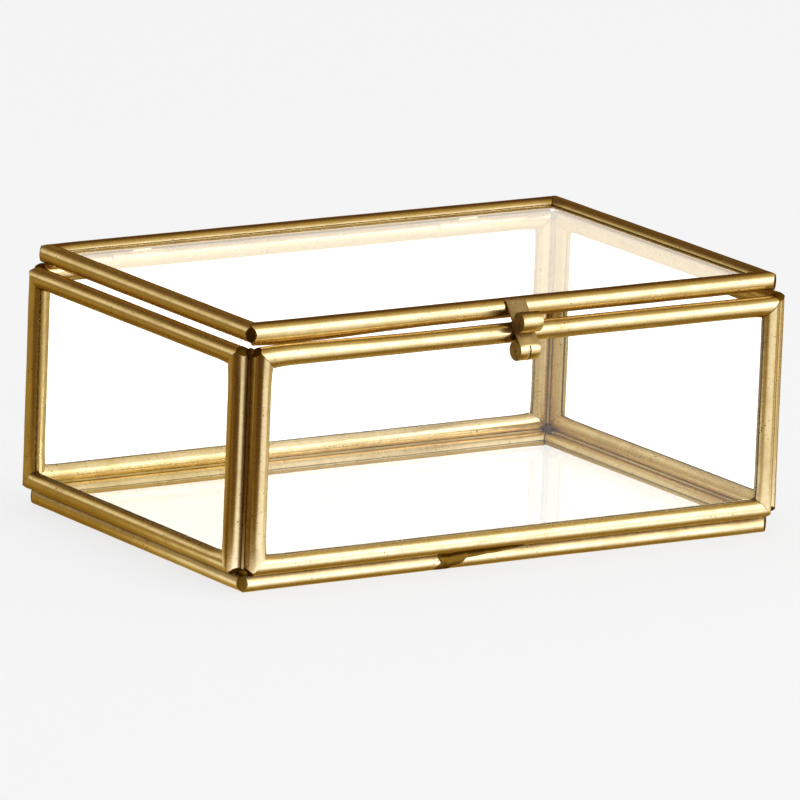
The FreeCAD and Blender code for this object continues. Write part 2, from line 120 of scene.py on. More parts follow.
# Rails that bulge: towards which side, where along X, how far left and right of there, and by how much
BULGES = {
    "lid_front_rail": (-Z, -62 * MM, 16 * MM, 42 * MM, 0.85 * MM),
    "front_top_rail": (Z, -62 * MM, 12 * MM, 30 * MM, 0.40 * MM),
}


class Finish:
    """A value in a material's nodes. Sums with it add Math nodes."""

    def __init__(self, tree, socket=None):
        self.tree = tree
        self.socket = socket

    def node(self, kind, settings=None, sockets=None, output=0):
        """Adds a node of any kind: its settings first, then the values or links of its sockets."""
        added = self.tree.nodes.new(kind)
        for name, value in (settings or {}).items():
            setattr(added, name, value)
        for name, value in (sockets or {}).items():
            if isinstance(value, Finish):
                self.tree.links.new(value.socket, added.inputs[name])
            else:
                added.inputs[name].default_value = value
        return Finish(self.tree, added.outputs[output] if len(added.outputs) else None)

    def maths(self, operation, first, second):
        return self.node("ShaderNodeMath", {"operation": operation}, {0: first, 1: second})

    def __add__(self, other):
        return self.maths("ADD", self, other)

    def __radd__(self, other):
        return self.maths("ADD", other, self)

    def __sub__(self, other):
        return self.maths("SUBTRACT", self, other)

    def __rsub__(self, other):
        return self.maths("SUBTRACT", other, self)

    def __mul__(self, other):
        return self.maths("MULTIPLY", self, other)

    def __rmul__(self, other):
        return self.maths("MULTIPLY", other, self)

    def __pow__(self, other):
        return self.maths("POWER", self, other)

    def fade(self, start, end):
        """Rises smoothly from 0 to 1 as the value goes from start to end."""
        return self.node(
            "ShaderNodeMapRange",
            {"interpolation_type": "SMOOTHSTEP"},
            {"Value": self, "From Min": start, "From Max": end},
        )

    def tint(self, low, high):
        """The colour that is low where the value is 0 and high where it is 1."""
        return self.node("ShaderNodeMix", {"data_type": "RGBA"}, {0: self, 6: low, 7: high}, output=2)


def new_finish(name):
    """A new material without nodes, as the start of a chain of values."""
    material = bpy.data.materials.new(name)
    material.use_nodes = True
    material.node_tree.nodes.clear()
    return material, Finish(material.node_tree)


def patterns(chain, scale, detail):
    """Smooth mottling on the piece itself, with the given number of patches in a metre."""
    place = chain.node("ShaderNodeTexCoord", output="Object")
    sockets = {"Vector": place, "Scale": scale, "Detail": detail, "Roughness": PATCH_ROUGHNESS}
    return chain.node("ShaderNodeTexNoise", None, sockets)


def aged_brass(name, bright, tarnished, pitted, edge, shine):
    """Satin brass: soft patches of tarnish, mottling and a fine grain from rubbing, and small dark pits, with
    painted shade darker and rougher where the piece's attribute marks it.
    """
    material, chain = new_finish(name)
    clouds = patterns(chain, TARNISH_SCALE, 4.0).fade(0.42, 0.72)
    mottle = patterns(chain, MOTTLE_SCALE, 3.0)
    grain = patterns(chain, GRAIN_SCALE, 2.0)
    spotted = {"Vector": chain.node("ShaderNodeTexCoord", output="Object"), "Scale": PIT_SCALE}
    spots = chain.node("ShaderNodeTexVoronoi", None, spotted, output="Distance")
    crowded = patterns(chain, PIT_CROWD_SCALE, 2.0).fade(0.46, 0.68)
    pits = spots.fade(0.28, 0.12) * crowded * 0.85
    worn = clouds * 0.45 + mottle.fade(0.38, 0.72) * 0.35 + grain.fade(0.40, 0.75) * 0.20
    # Painted shade from the piece's attribute darkens the colour and raises the roughness
    painted_shade = chain.node("ShaderNodeAttribute", {"attribute_name": PAINTED_SHADE_ATTRIBUTE}, output="Fac")
    pits_and_painted_shade = pits + painted_shade * (0.42 + mottle * 0.5)
    colour = pits_and_painted_shade.tint(worn.tint(bright, tarnished), pitted)
    rough = shine + clouds * 0.08 + grain * 0.10 + pits * 0.2 + painted_shade * 0.25
    height = mottle * 0.35 + clouds * 0.4 + grain * 0.10 - pits * 0.3
    uneven = {"Strength": 0.5, "Distance": SURFACE_DEPTH, "Height": height}
    bump = chain.node("ShaderNodeBump", None, uneven)
    metal = {"Base Color": colour, "Roughness": rough, "Metallic": 1.0, "Specular Tint": edge, "Normal": bump}
    shader = chain.node("ShaderNodeBsdfPrincipled", None, metal)
    chain.node("ShaderNodeOutputMaterial", None, {"Surface": shader})
    return material


tube_brass = aged_brass(
    "tube_brass",
    bright=(0.89, 0.71, 0.40, 1),
    tarnished=(0.70, 0.52, 0.24, 1),
    pitted=(0.30, 0.20, 0.08, 1),
    edge=(0.95, 0.85, 0.55, 1),
    shine=0.20,
)


def pick(mode, wanted):
    """In edit mode, selects only the vertices, edges or faces that are wanted."""
    bpy.ops.mesh.select_mode(type=mode)
    bpy.ops.mesh.select_all(action="DESELECT")
    mesh = bpy.context.object.data
    shape = bmesh.from_edit_mesh(mesh)
    for part in {"VERT": shape.verts, "EDGE": shape.edges, "FACE": shape.faces}[mode]:
        part.select = wanted(part)
    shape.select_flush_mode()
    bmesh.update_edit_mesh(mesh)


def cut_off(point, outwards):
    """In edit mode, removes what lies beyond a plane."""
    bpy.ops.mesh.select_all(action="SELECT")
    bpy.ops.mesh.bisect(plane_co=point, plane_no=outwards, clear_outer=True)


def apply_modifier(piece, kind, **settings):
    modifier = piece.modifiers.new(kind.lower(), kind)
    for name, value in settings.items():
        setattr(modifier, name, value)
    bpy.ops.object.modifier_apply(modifier=modifier.name)


def shaped_ends(node):
    """How both ends are worked: as listed for those that show most, and otherwise a little, by chance."""
    chance = random.Random(node)
    usual = [(chance.uniform(0, CHANCE_OPENING), chance.uniform(*CHANCE_SWELLING), 0.0) for _ in range(2)]
    return SHAPED_ENDS.get(node, usual)


def ramp(value, start, end):
    """Rises from 0 to 1 as a number goes from start to end."""
    return min(1.0, max(0.0, (value - start) / (end - start)))


def work_tube(tube, half, ends, seed):
    """Bows a straight tube a little towards the glass, dents it, and works its ends out of round."""
    shift = Vector((seed, 0.37 * seed, 0.71 * seed))
    for vertex in tube.data.vertices:
        x, y, z = vertex.co
        around = Vector((x, y, z)) * DENT_SCALE + shift
        narrowed = 1 - DENT_DEPTH / TUBE_RADIUS * (1 + noise.noise(around)) / 2
        bows = (noise.noise(Vector((x * BOW_SCALE, seed, row))) for row in (1.3, 7.7))
        bow_y, bow_z = (BOW_DEPTH * bow / 2 for bow in bows)
        y, z = y * narrowed + BOW_DEPTH / 2 + bow_y, z * narrowed + bow_z
        for side, (opening, swelling, _) in zip((-1, 1), ends):
            inside = half - TUBE_RADIUS - side * x
            near = ramp(inside, END_LENGTH, 0) ** 2
            z *= 1 + swelling * near
            y += opening * near * max(0.0, y / TUBE_RADIUS)
        vertex.co = (x, y, z)


def slit_tube(name, half, ends, seed, stands):
    """A tube along X, slit towards +Y and mitred where the panel's centre lines meet, at half either way."""
    reach = half + 1.5 * TUBE_RADIUS
    bpy.ops.object.select_all(action="DESELECT")
    bpy.ops.mesh.primitive_circle_add(
        vertices=TUBE_SIDES, radius=TUBE_RADIUS, location=(-reach, 0, 0), rotation=(0, math.pi / 2, 0)
    )
    tube = bpy.context.object
    tube.name = name
    bpy.ops.object.transform_apply(location=True, rotation=True, scale=True)
    bpy.ops.object.mode_set(mode="EDIT")
    lip = 1.01 * math.sqrt(TUBE_RADIUS**2 - SLIT_HALF**2)
    pick("VERT", lambda vertex: vertex.co.y > lip)
    bpy.ops.mesh.delete(type="VERT")
    bpy.ops.mesh.select_all(action="SELECT")
    bpy.ops.mesh.extrude_edges_move(TRANSFORM_OT_translate={"value": (2 * reach, 0, 0)})
    pick("EDGE", lambda edge: abs(edge.verts[0].co.x - edge.verts[1].co.x) > reach)
    bpy.ops.mesh.subdivide(number_cuts=round(2 * reach / RING_SPACING))
    bpy.ops.object.mode_set(mode="OBJECT")
    work_tube(tube, half, ends, seed)
    if stands:
        for vertex in tube.data.vertices:
            vertex.co.z = max(vertex.co.z, REST_FLAT - TUBE_RADIUS)
    bpy.ops.object.mode_set(mode="EDIT")
    tip = TUBE_RADIUS - TIP_CLIP / math.sqrt(2)
    for side, (_, _, gape) in zip((-1, 1), ends):
        cut_off((side * (half - MITRE_GAP + tip), -tip, 0), (side, 1 + gape, 0))
        cut_off((side * (half + tip), -tip, 0), (side, -1, 0))
    bpy.ops.mesh.select_all(action="SELECT")
    bpy.ops.mesh.remove_doubles(threshold=MERGE_DISTANCE)
    bpy.ops.mesh.normals_make_consistent(inside=False)
    bpy.ops.object.mode_set(mode="OBJECT")
    apply_modifier(tube, "SOLIDIFY", thickness=TUBE_WALL, offset=-1, use_even_offset=True)
    bpy.ops.object.shade_smooth_by_angle(angle=SMOOTH_ANGLE)
    return tube


def bulge(piece, middle, towards, place, left, right, depth):
    """Swells one side of a rail that runs along X through a middle point."""
    for vertex in piece.data.vertices:
        apart = vertex.co.x - place
        share = max(0.0, 1 - (apart / (left if apart < 0 else right)) ** 2) ** 2
        facing = max(0.0, (vertex.co - middle).dot(towards) / TUBE_RADIUS)
        vertex.co += towards * depth * share * facing


def keep_in_box(piece):
    """Holds a piece that was worked out of shape to the object's real outside size."""
    low, high = cad_box
    for vertex in piece.data.vertices:
        places = zip(vertex.co, low, high)
        vertex.co = [min(max(place, least), most) for place, least, most in places]


def tube_line(node):
    """The middle and the direction of a tube."""
    low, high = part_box(node)
    size = high - low
    return (low + high) / 2, max(range(3), key=lambda axis: size[axis])


tube_nodes = [f"{panel}_{tube}" for panel, (_, _, tubes, _) in PANELS.items() for tube in tubes]
tube_lines = {node: tube_line(node) for node in tube_nodes}


def paint_shade_between_tubes(piece, node):
    """Paints shade, as an attribute, on the outside of a tube where it faces one fixed close beside it."""
    middle, axis = tube_lines[node]
    on_lid = node.startswith("lid_")
    beside = [
        other - middle
        for name, (other, way) in tube_lines.items()
        if name != node and way == axis and name.startswith("lid_") == on_lid
    ]
    for apart in beside:
        apart[axis] = 0
    beside = [apart.normalized() for apart in beside if apart.length < PAINTED_SHADE_REACH]
    outwards = middle - (cad_box[0] + cad_box[1]) / 2
    outwards[axis] = 0
    outwards.normalize()
    shade = piece.data.attributes.new(PAINTED_SHADE_ATTRIBUTE, "FLOAT", "POINT")
    for vertex, value in zip(piece.data.vertices, shade.data):
        facing = vertex.co - middle
        facing[axis] = 0
        facing.normalize()
        closest = max((facing.dot(apart) for apart in beside), default=0.0)
        outside = ramp(facing.dot(outwards), -0.3, 0.2)
        value.value = ramp(closest, 0.55, 0.9) * outside


panel_places = {}
for panel, (along, up, tubes, body) in PANELS.items():
    u, v = (axis[:].index(1) for axis in (along, up))
    boxes = [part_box(f"{panel}_{tube}") for tube in tubes]
    low_v, high_u, high_v, low_u = (
        boxes[0][0][v] + TUBE_RADIUS,
        boxes[1][1][u] - TUBE_RADIUS,
        boxes[2][1][v] - TUBE_RADIUS,
        boxes[3][0][u] + TUBE_RADIUS,
    )
    face = 3 - u - v
    centre = Vector((0, 0, 0))
    centre[u], centre[v] = (low_u + high_u) / 2, (low_v + high_v) / 2
    centre[face] = boxes[0][1][face] - TUBE_RADIUS
    half_u, half_v = (high_u - low_u) / 2, (high_v - low_v) / 2
    panel_places[panel] = centre, half_u, half_v
    for quarter, tube in enumerate(tubes):
        node = f"{panel}_{tube}"
        turn = Matrix.Rotation(quarter * math.pi / 2, 3, along.cross(up))
        lengthwise, inwards = turn @ along, turn @ up
        half, offset = (half_u, half_v) if quarter % 2 == 0 else (half_v, half_u)
        seed = len(node) + 3.1 * quarter
        piece = slit_tube(f"{node}_tube", half, shaped_ends(node), seed, stands=panel == "base")
        place = Matrix((lengthwise, inwards, lengthwise.cross(inwards))).transposed().to_4x4()
        place.translation = centre - inwards * offset
        piece.data.transform(place)
        if node in BULGES:
            bulge(piece, place.translation, *BULGES[node])
        keep_in_box(piece)
        # Painted shade on the side of the tube that faces a close tube
        paint_shade_between_tubes(piece, node)
        piece.data.materials.append(tube_brass)
        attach(piece, body)
        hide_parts(node)

# Panes: six rectangles of clear float glass with sawn edges, pushed into the tubes' slits.
# They are clean, with only a trace of wiping left on the surface.

glass, chain = new_finish("clear_glass")
wiping = patterns(chain, 45.0, 3.0).fade(0.45, 0.8)
shader = chain.node(
    "ShaderNodeBsdfPrincipled",
    None,
    {
        "Base Color": wiping.tint((0.995, 1.0, 0.997, 1), (0.975, 0.985, 0.98, 1)),
        "Roughness": 0.0,
        "IOR": 1.5,
        "Transmission Weight": 1.0,
    },
)
chain.node("ShaderNodeOutputMaterial", None, {"Surface": shader})

for panel in PANELS:
    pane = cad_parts[f"{panel}_glass"]
    pane.material_slots[0].material = glass
    pane.visible_shadow = False

# Solder: a run of soft solder in each line where two tubes of the body lie side by side, brassed over.
# It was run in with an iron after the panels were stood up, so it is darker than the tubes, with flux stains.

solder_brass = aged_brass(
    "solder_brass",
    bright=(0.64, 0.47, 0.19, 1),
    tarnished=(0.40, 0.27, 0.07, 1),
    pitted=(0.14, 0.08, 0.02, 1),
    edge=(0.8, 0.65, 0.3, 1),
    shine=0.24,
)

for node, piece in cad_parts.items():
    if node.endswith("_solder"):
        piece.material_slots[0].material = solder_brass

# Corner fills: a plug of solder in the tip of every mitred corner, which keeps the tubes' open ends shut.
# The tip was filed off flat with the plug in it, so its face is a plain lens that meets the tubes' skin.

SHARP_ANGLE = math.radians(60)
PLUG_SIDES = 40
PLUG_DEPTH = 1.0 * MM
PLUG_FIT = 0.965
PLUG_TIP = 0.25
PLUG_PROUD = 0.03 * MM
PLUG_EDGE = 0.06 * MM
FACET_REACH = math.sqrt(2) * TUBE_RADIUS - TIP_CLIP

stained_solder = aged_brass(
    "stained_solder",
    bright=(0.20, 0.108, 0.013, 1),
    tarnished=(0.10, 0.052, 0.006, 1),
    pitted=(0.05, 0.03, 0.006, 1),
    edge=(0.5, 0.35, 0.12, 1),
    shine=0.45,
)


def mitre_point(panel, side_u, side_v):
    """Where the centre lines of two tubes of a panel meet."""
    along, up, _, _ = PANELS[panel]
    centre, half_u, half_v = panel_places[panel]
    return centre + along * side_u * half_u + up * side_v * half_v


def round_edges(piece, width):
    """Rounds a piece's sharp edges and smooths its faces."""
    apply_modifier(piece, "BEVEL", width=width, segments=2, limit_method="ANGLE", angle_limit=SHARP_ANGLE)
    bpy.ops.object.shade_smooth_by_angle(angle=SMOOTH_ANGLE)


def filed_plug():
    """A plug facing +Z whose outline is that of two tubes cut across the corner, half of it from each."""
    bpy.ops.object.select_all(action="DESELECT")
    bpy.ops.mesh.primitive_circle_add(vertices=PLUG_SIDES, radius=TIP_CLIP, fill_type="NGON")
    plug = bpy.context.object
    for vertex in plug.data.vertices:
        sideways, upwards, _ = vertex.co
        height = math.sqrt(max(0.0, TUBE_RADIUS**2 - (FACET_REACH + abs(sideways)) ** 2 / 2))
        height *= min(1.0, abs(upwards) / (PLUG_TIP * TIP_CLIP))
        vertex.co = (sideways * PLUG_FIT, math.copysign(height, upwards) * PLUG_FIT, -PLUG_DEPTH)
    bpy.ops.object.mode_set(mode="EDIT")
    bpy.ops.mesh.select_all(action="SELECT")
    outwards = {"value": (0, 0, PLUG_DEPTH + PLUG_PROUD)}
    bpy.ops.mesh.extrude_region_move(TRANSFORM_OT_translate=outwards)
    bpy.ops.mesh.select_all(action="SELECT")
    bpy.ops.mesh.normals_make_consistent(inside=False)
    bpy.ops.object.mode_set(mode="OBJECT")
    round_edges(plug, PLUG_EDGE)
    return plug


pattern_plug = filed_plug()
for panel, (along, up, _, body) in PANELS.items():
    across_panel = along.cross(up)
    bpy.ops.object.select_all(action="DESELECT")
    for side_u in (-1, 1):
        for side_v in (-1, 1):
            outwards = (along * side_u + up * side_v).normalized()
            sideways = across_panel.cross(outwards)
            place = Matrix((sideways, across_panel, outwards)).transposed().to_4x4()
            place.translation = mitre_point(panel, side_u, side_v) + outwards * FACET_REACH
            plug = bpy.data.objects.new(f"{panel}_corner_fills", pattern_plug.data.copy())
            plug.data.transform(place)
            bpy.context.scene.collection.objects.link(plug)
            plug.select_set(True)
            bpy.context.view_layer.objects.active = plug
    bpy.ops.object.join()
    fills = bpy.context.object
    fills.name = f"{panel}_corner_fills"
    keep_in_box(fills)
    fills.data.materials.append(stained_solder)
    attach(fills, body)
    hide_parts(f"{panel}_mitre_solder")
bpy.data.objects.remove(pattern_plug)

# Corner beads: a drop of solder in the hollow where the panels meet at each corner of the body.
# It ran in from the seams, so it is lumpy and as dark as the corner fills beside it.

BEAD_RADIUS = 1.35 * MM
BEAD_RISE = 0.6 * MM
BEAD_LUMP = 0.18
BEAD_ROUGHNESS = 700.0

bpy.ops.object.select_all(action="DESELECT")
drops = []
for side_x, end_panel in ((-1, "left"), (1, "right")):
    for side_y, long_panel in ((-1, "front"), (1, "back")):
        lower = [mitre_point(long_panel, side_x, -1), mitre_point(end_panel, side_y, -1)]
        lower.append(mitre_point("base", side_x, side_y))
        upper = [mitre_point(long_panel, side_x, 1), mitre_point(end_panel, side_y, 1)]
        for corners, rise in ((lower, 0), (upper, BEAD_RISE)):
            middle = sum(corners, Vector()) / len(corners) + Z * rise
            bpy.ops.mesh.primitive_ico_sphere_add(subdivisions=4, radius=BEAD_RADIUS, location=middle)
            bpy.ops.object.transform_apply(location=True, rotation=True, scale=True)
            drops.append(bpy.context.object)
for drop in drops:
    drop.select_set(True)
bpy.ops.object.join()
beads = bpy.context.object
beads.name = "corner_solder_beads"
for vertex in beads.data.vertices:
    lump = BEAD_LUMP * BEAD_RADIUS * noise.noise(vertex.co * BEAD_ROUGHNESS)
    vertex.co += vertex.normal * lump
bpy.ops.object.shade_smooth()
keep_in_box(beads)
beads.data.materials.append(stained_solder)
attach(beads, "box")

# Tack: a blob of solder left in the groove under the front, where the base was first fixed to the wall.
# It covers the base's tube for a few millimetres at its left end and narrows towards the right.

TACK_START = -19.8 * MM
TACK_LENGTH = 24.0 * MM
TACK_FILM = 0.16 * MM
TACK_SKIN = 0.08 * MM
TACK_EDGE = 0.02 * MM
TACK_SINK = 0.03 * MM
TACK_THICKNESS = 0.3 * MM
TACK_LUMP = 0.10 * MM
TACK_ROUGHNESS = 900.0
TACK_SMOOTH_ANGLE = math.radians(50)
# The shares of its length over which it thins out to the left and the right
TACK_LEFT_END = 0.02
TACK_RIGHT_END = 0.15
# The notch in its left end: its depth, its share of the length, and where round the base's tube it lies
NOTCH_DEPTH = 1.2 * MM
NOTCH_SHARE = 0.15
NOTCH_ANGLE = -5
NOTCH_SPREAD = 45
# Places along the tack in millimetres, with the angles at which it leaves the base's tube and the wall's.
# An angle of 0 faces straight ahead, and one over 0 faces up.
TACK_EDGES = (
    (0.0, -58, -80),
    (3.6, -60, -68),
    (4.4, -32, -50),
    (6.6, -22, -46),
    (8.2, 8, -44),
    (15.0, 18, -44),
    (21.5, 28, -50),
    (24.0, 50, -80),
)
# The fillet between the tubes: its share of the tack's breadth, its angle and overlap on the base's tube,
# and how fast it leaves the wall's tube
FILLET_SHARE = 0.4
FILLET_ANGLE = 57
FILLET_OVERLAP = 0.3
FILLET_STEEPNESS = 6

rail_low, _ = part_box("front_bottom_rail")
base_low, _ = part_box("base_front_rail")
low_tube = Vector((rail_low.y, rail_low.z)) + Vector((TUBE_RADIUS, TUBE_RADIUS))
base_tube = Vector((base_low.y + TUBE_RADIUS, base_low.z + TUBE_RADIUS - REST_FLAT))
groove = (low_tube + base_tube) / 2


def on_tube(tube, degrees, height):
    """The point at a height over a tube's skin that faces forwards and up by an angle."""
    facing = Vector((-math.cos(math.radians(degrees)), math.sin(math.radians(degrees))))
    return tube + facing * (TUBE_RADIUS + height)


def tack_angles(along):
    """The angles of the tack's lower and upper edge at a distance from its start, eased between places."""
    for (before, *first), (after, *second) in zip(TACK_EDGES, TACK_EDGES[1:]):
        if along <= after * MM:
            share = (along / MM - before) / (after - before)
            eased = share * share * (3 - 2 * share)
            return [low + (high - low) * eased for low, high in zip(first, second)]
    return TACK_EDGES[-1][1:]


bpy.ops.object.select_all(action="DESELECT")
bpy.ops.mesh.primitive_grid_add(x_subdivisions=96, y_subdivisions=24, size=1)
tack = bpy.context.object
tack.name = "front_solder_tack"
for vertex in tack.data.vertices:
    share, across = vertex.co.x + 0.5, vertex.co.y + 0.5
    along = share * TACK_LENGTH
    low_angle, high_angle = tack_angles(along)
    ending = min(1.0, share / TACK_LEFT_END, (1 - share) / TACK_RIGHT_END)
    down = ramp(across, FILLET_SHARE, 1)
    angle = FILLET_ANGLE + (low_angle - FILLET_ANGLE) * (FILLET_OVERLAP + (1 - FILLET_OVERLAP) * down)
    film = (TACK_FILM * (1 - down**4) + TACK_EDGE) * ending - TACK_SINK
    if across < FILLET_SHARE:
        rise = across / FILLET_SHARE
        upper = on_tube(low_tube, high_angle, -TACK_EDGE)
        lower = on_tube(base_tube, angle, film)
        bend = groove.lerp((upper + lower) / 2, ending)
        place = upper * (1 - rise) ** 2 + bend * 2 * rise * (1 - rise) + lower * rise**2
        skin = TACK_SKIN * min(1.0, FILLET_STEEPNESS * rise) * ending - TACK_EDGE
        apart = place - low_tube
        place = low_tube + apart * max(1.0, (TUBE_RADIUS + skin) / apart.length)
    else:
        place = on_tube(base_tube, angle, film)
    bumps = noise.noise(Vector((along, place.x, place.y)) * TACK_ROUGHNESS)
    lump = TACK_LUMP * math.sin(math.pi * across) * bumps
    notch = NOTCH_DEPTH * ramp(share, NOTCH_SHARE, 0) * ramp(abs(angle - NOTCH_ANGLE), NOTCH_SPREAD, 0)
    vertex.co = (TACK_START + along + notch, place.x - lump, place.y)
bpy.ops.object.mode_set(mode="EDIT")
bpy.ops.mesh.select_all(action="SELECT")
bpy.ops.mesh.remove_doubles(threshold=MERGE_DISTANCE)
bpy.ops.mesh.normals_make_consistent(inside=False)
bpy.ops.object.mode_set(mode="OBJECT")
if sum(face.normal.y for face in tack.data.polygons) > 0:
    tack.data.flip_normals()
apply_modifier(tack, "SOLIDIFY", thickness=TACK_THICKNESS, offset=-1)
bpy.ops.object.shade_smooth_by_angle(angle=TACK_SMOOTH_ANGLE)
tack.data.materials.append(stained_solder)
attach(tack, "box")

# Hinges: two barrel hinges of folded brass strip behind the lid, each with a wire pin peened at both ends.
# One leaf is soldered round the lid's back tube, the other round the back wall's top tube.

for node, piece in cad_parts.items():
    if "_hinge_" in node:
        piece.material_slots[0].material = tube_brass

# Clasp: two strips of flat brass, each soldered to a tube at one end and rolled up tight at the other.
# The lid's strip comes down and curls forwards and up. The wall's curls under, and its roll has a saw cut.

STRIP_THICKNESS = 0.4 * MM
STRIP_FILM = 0.02 * MM
STRIP_STEP = math.radians(10)
STRIP_EDGE = 0.05 * MM
ROLL_GAP = 0.12 * MM
SLIT_WIDTH = 0.3 * MM
SLIT_TOP = 0.25
LID_WRAP = math.radians(22)
WALL_WRAP = math.radians(25)
UPPER_ROLL_DIAMETER = 4.9 * MM
LOWER_ROLL_DIAMETER = 5.0 * MM
# Painted shade on the strips, darker towards the gap between the tubes: how much more with each millimetre,
# and how much at the wall tube's middle
UPPER_SHADE_RATE = 1.2
LOWER_SHADE_RATE = 0.45
LOWER_SHADE_AT_TUBE = 0.7
# How squarely a face must point across the strip to be painted fully dark, as on the rolls' ends
ROLL_END_FACING = 0.7
strip_radius = TUBE_RADIUS + STRIP_FILM + STRIP_THICKNESS / 2
middle_y = (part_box("front_glass")[0].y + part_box("back_glass")[1].y) / 2


def left_of(heading):
    return Vector((-math.sin(heading), math.cos(heading)))


def straight_heading(first, first_radius, second, second_radius):
    """The heading of the straight run between two bends. A radius over 0 turns left, under 0 right."""
    apart = first - second
    return math.atan2(-apart.x, apart.y) - math.acos((first_radius - second_radius) / apart.length)


def rolled_up(centre, radius, heading):
    """The half turns of a roll, each tighter than the last by half a strip and half a gap."""
    bends = []
    turn = math.copysign(1, radius)
    while turn * radius >= STRIP_THICKNESS:
        end = heading + turn * math.pi
        bends.append((centre, radius, heading, end))
        tighter = radius - turn * (STRIP_THICKNESS + ROLL_GAP) / 2
        centre = centre - left_of(end) * (radius - tighter)
        radius, heading = tighter, end
    return bends


def bent_strip(name, bends, width, middle_x):
    """A strip drawn out and spun round its bends, whose places are forwards and up from the middle."""

    def placed(point):
        return Vector((middle_x, middle_y - point.x, point.y))

    centre, radius, heading, _ = bends[0]
    end = placed(centre - left_of(heading) * radius)
    bpy.ops.object.select_all(action="DESELECT")
    bpy.ops.mesh.primitive_plane_add(size=width, location=end + Y * width / 2)
    strip = bpy.context.object
    strip.name = name
    bpy.ops.object.transform_apply(location=True, rotation=True, scale=True)
    bpy.ops.object.mode_set(mode="EDIT")
    pick("VERT", lambda vertex: vertex.co.y > end.y + width / 2)
    bpy.ops.mesh.delete(type="VERT")
    bpy.ops.mesh.select_all(action="SELECT")
    for centre, radius, heading, last_heading in bends:
        start = placed(centre - left_of(heading) * radius)
        if (start - end).length > MERGE_DISTANCE:
            bpy.ops.mesh.extrude_edges_move(TRANSFORM_OT_translate={"value": start - end})
        angle = last_heading - heading
        steps = math.ceil(abs(angle) / STRIP_STEP)
        bpy.ops.mesh.spin(steps=steps, angle=angle, center=placed(centre), axis=(1, 0, 0))
        end = placed(centre - left_of(last_heading) * radius)
    bpy.ops.mesh.select_all(action="SELECT")
    bpy.ops.mesh.remove_doubles(threshold=MERGE_DISTANCE)
    bpy.ops.mesh.normals_make_consistent(inside=False)
    bpy.ops.object.mode_set(mode="OBJECT")
    return strip


def paint_strip_shade(strip, strip_shade):
    """Paints shade on a strip's side faces, which make the roll's ends, and on the strip towards the gap
    between the tubes.
    """
    shade = strip.data.attributes.new(PAINTED_SHADE_ATTRIBUTE, "FLOAT", "FACE")
    for face, value in zip(strip.data.polygons, shade.data):
        at_end = abs(face.normal.x) > ROLL_END_FACING
        value.value = 1.0 if at_end else ramp(strip_shade(middle_y - face.center.y, face.center.z), 0, 1)


def finish_strip(strip, node, body, strip_shade):
    """Gives the bent sheet its thickness and rounded edges, and sets it in place of its node."""
    apply_modifier(strip, "SOLIDIFY", thickness=STRIP_THICKNESS, offset=0)
    round_edges(strip, STRIP_EDGE)
    keep_in_box(strip)
    # Painted shade on the strip
    paint_strip_shade(strip, strip_shade)
    strip.data.materials.append(tube_brass)
    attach(strip, body)
    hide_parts(node)


def forwards_and_up(corner, radius):
    """The middle of a tube or roll whose front and underside are at a corner."""
    return Vector((middle_y - corner.y - radius, corner.z + radius))


upper_low, upper_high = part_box("lid_clasp_curl")
lower_low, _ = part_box("body_clasp_curl")
clasp_width = upper_high.x - upper_low.x
clasp_x = (upper_high.x + upper_low.x) / 2

lid_tube = forwards_and_up(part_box("lid_front_rail")[0], TUBE_RADIUS)
upper_roll = forwards_and_up(upper_low, UPPER_ROLL_DIAMETER / 2)
upper_radius = (UPPER_ROLL_DIAMETER - STRIP_THICKNESS) / 2
heading = straight_heading(lid_tube, -strip_radius, upper_roll, upper_radius)
bends = [(lid_tube, -strip_radius, heading + LID_WRAP, heading)]
bends += rolled_up(upper_roll, upper_radius, heading)
upper_strip = bent_strip("lid_clasp_strip", bends, clasp_width, clasp_x)


# Painted shade on the lid's strip, darker from the roll's middle back towards the lid's tube
def upper_strip_shade(forwards, _):
    return UPPER_SHADE_RATE * (upper_roll.x - forwards) / MM


finish_strip(upper_strip, "lid_clasp_curl", "lid", upper_strip_shade)

wall_tube = forwards_and_up(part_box("front_top_rail")[0], TUBE_RADIUS)
lower_roll = forwards_and_up(lower_low, LOWER_ROLL_DIAMETER / 2)
lower_radius = (LOWER_ROLL_DIAMETER - STRIP_THICKNESS) / 2
heading = straight_heading(wall_tube, -strip_radius, lower_roll, -lower_radius)
bends = [(wall_tube, -strip_radius, heading + WALL_WRAP, heading)]
bends += rolled_up(lower_roll, -lower_radius, heading)
lower_strip = bent_strip("body_clasp_strip", bends, clasp_width, clasp_x)
bpy.ops.object.mode_set(mode="EDIT")
slit_top = lower_roll.y + SLIT_TOP * LOWER_ROLL_DIAMETER
for side in (-1, 1):
    bpy.ops.mesh.select_all(action="SELECT")
    bpy.ops.mesh.bisect(plane_co=(clasp_x + side * SLIT_WIDTH / 2, 0, 0), plane_no=(1, 0, 0))


def in_slit(face):
    middle = face.calc_center_median()
    return abs(middle.x - clasp_x) < SLIT_WIDTH / 2 and middle.z < slit_top


pick("FACE", in_slit)
bpy.ops.mesh.delete(type="FACE")
bpy.ops.object.mode_set(mode="OBJECT")


# Painted shade on the wall's strip, darker from the wall tube's middle up towards the gap
def lower_strip_shade(_, up):
    return LOWER_SHADE_RATE * (up - wall_tube.y) / MM + LOWER_SHADE_AT_TUBE


finish_strip(lower_strip, "body_clasp_curl", "box", lower_strip_shade)

# Floor: a pale table that fades into the backdrop. The brass mirrors it as dim, with a bright patch ahead,
# a bright strip along the box's foot and shade to the left. Brass inside the box mirrors it evenly lit.

FLOOR_HALF = 3.0
BACKGROUND = 0.955
SEEN_THROUGH_GLASS = 1.9
MATT_SHARE = 0.2
TABLE_GREY = (0.86, 0.86, 0.86, 1)
WHITE = (1, 1, 1, 1)
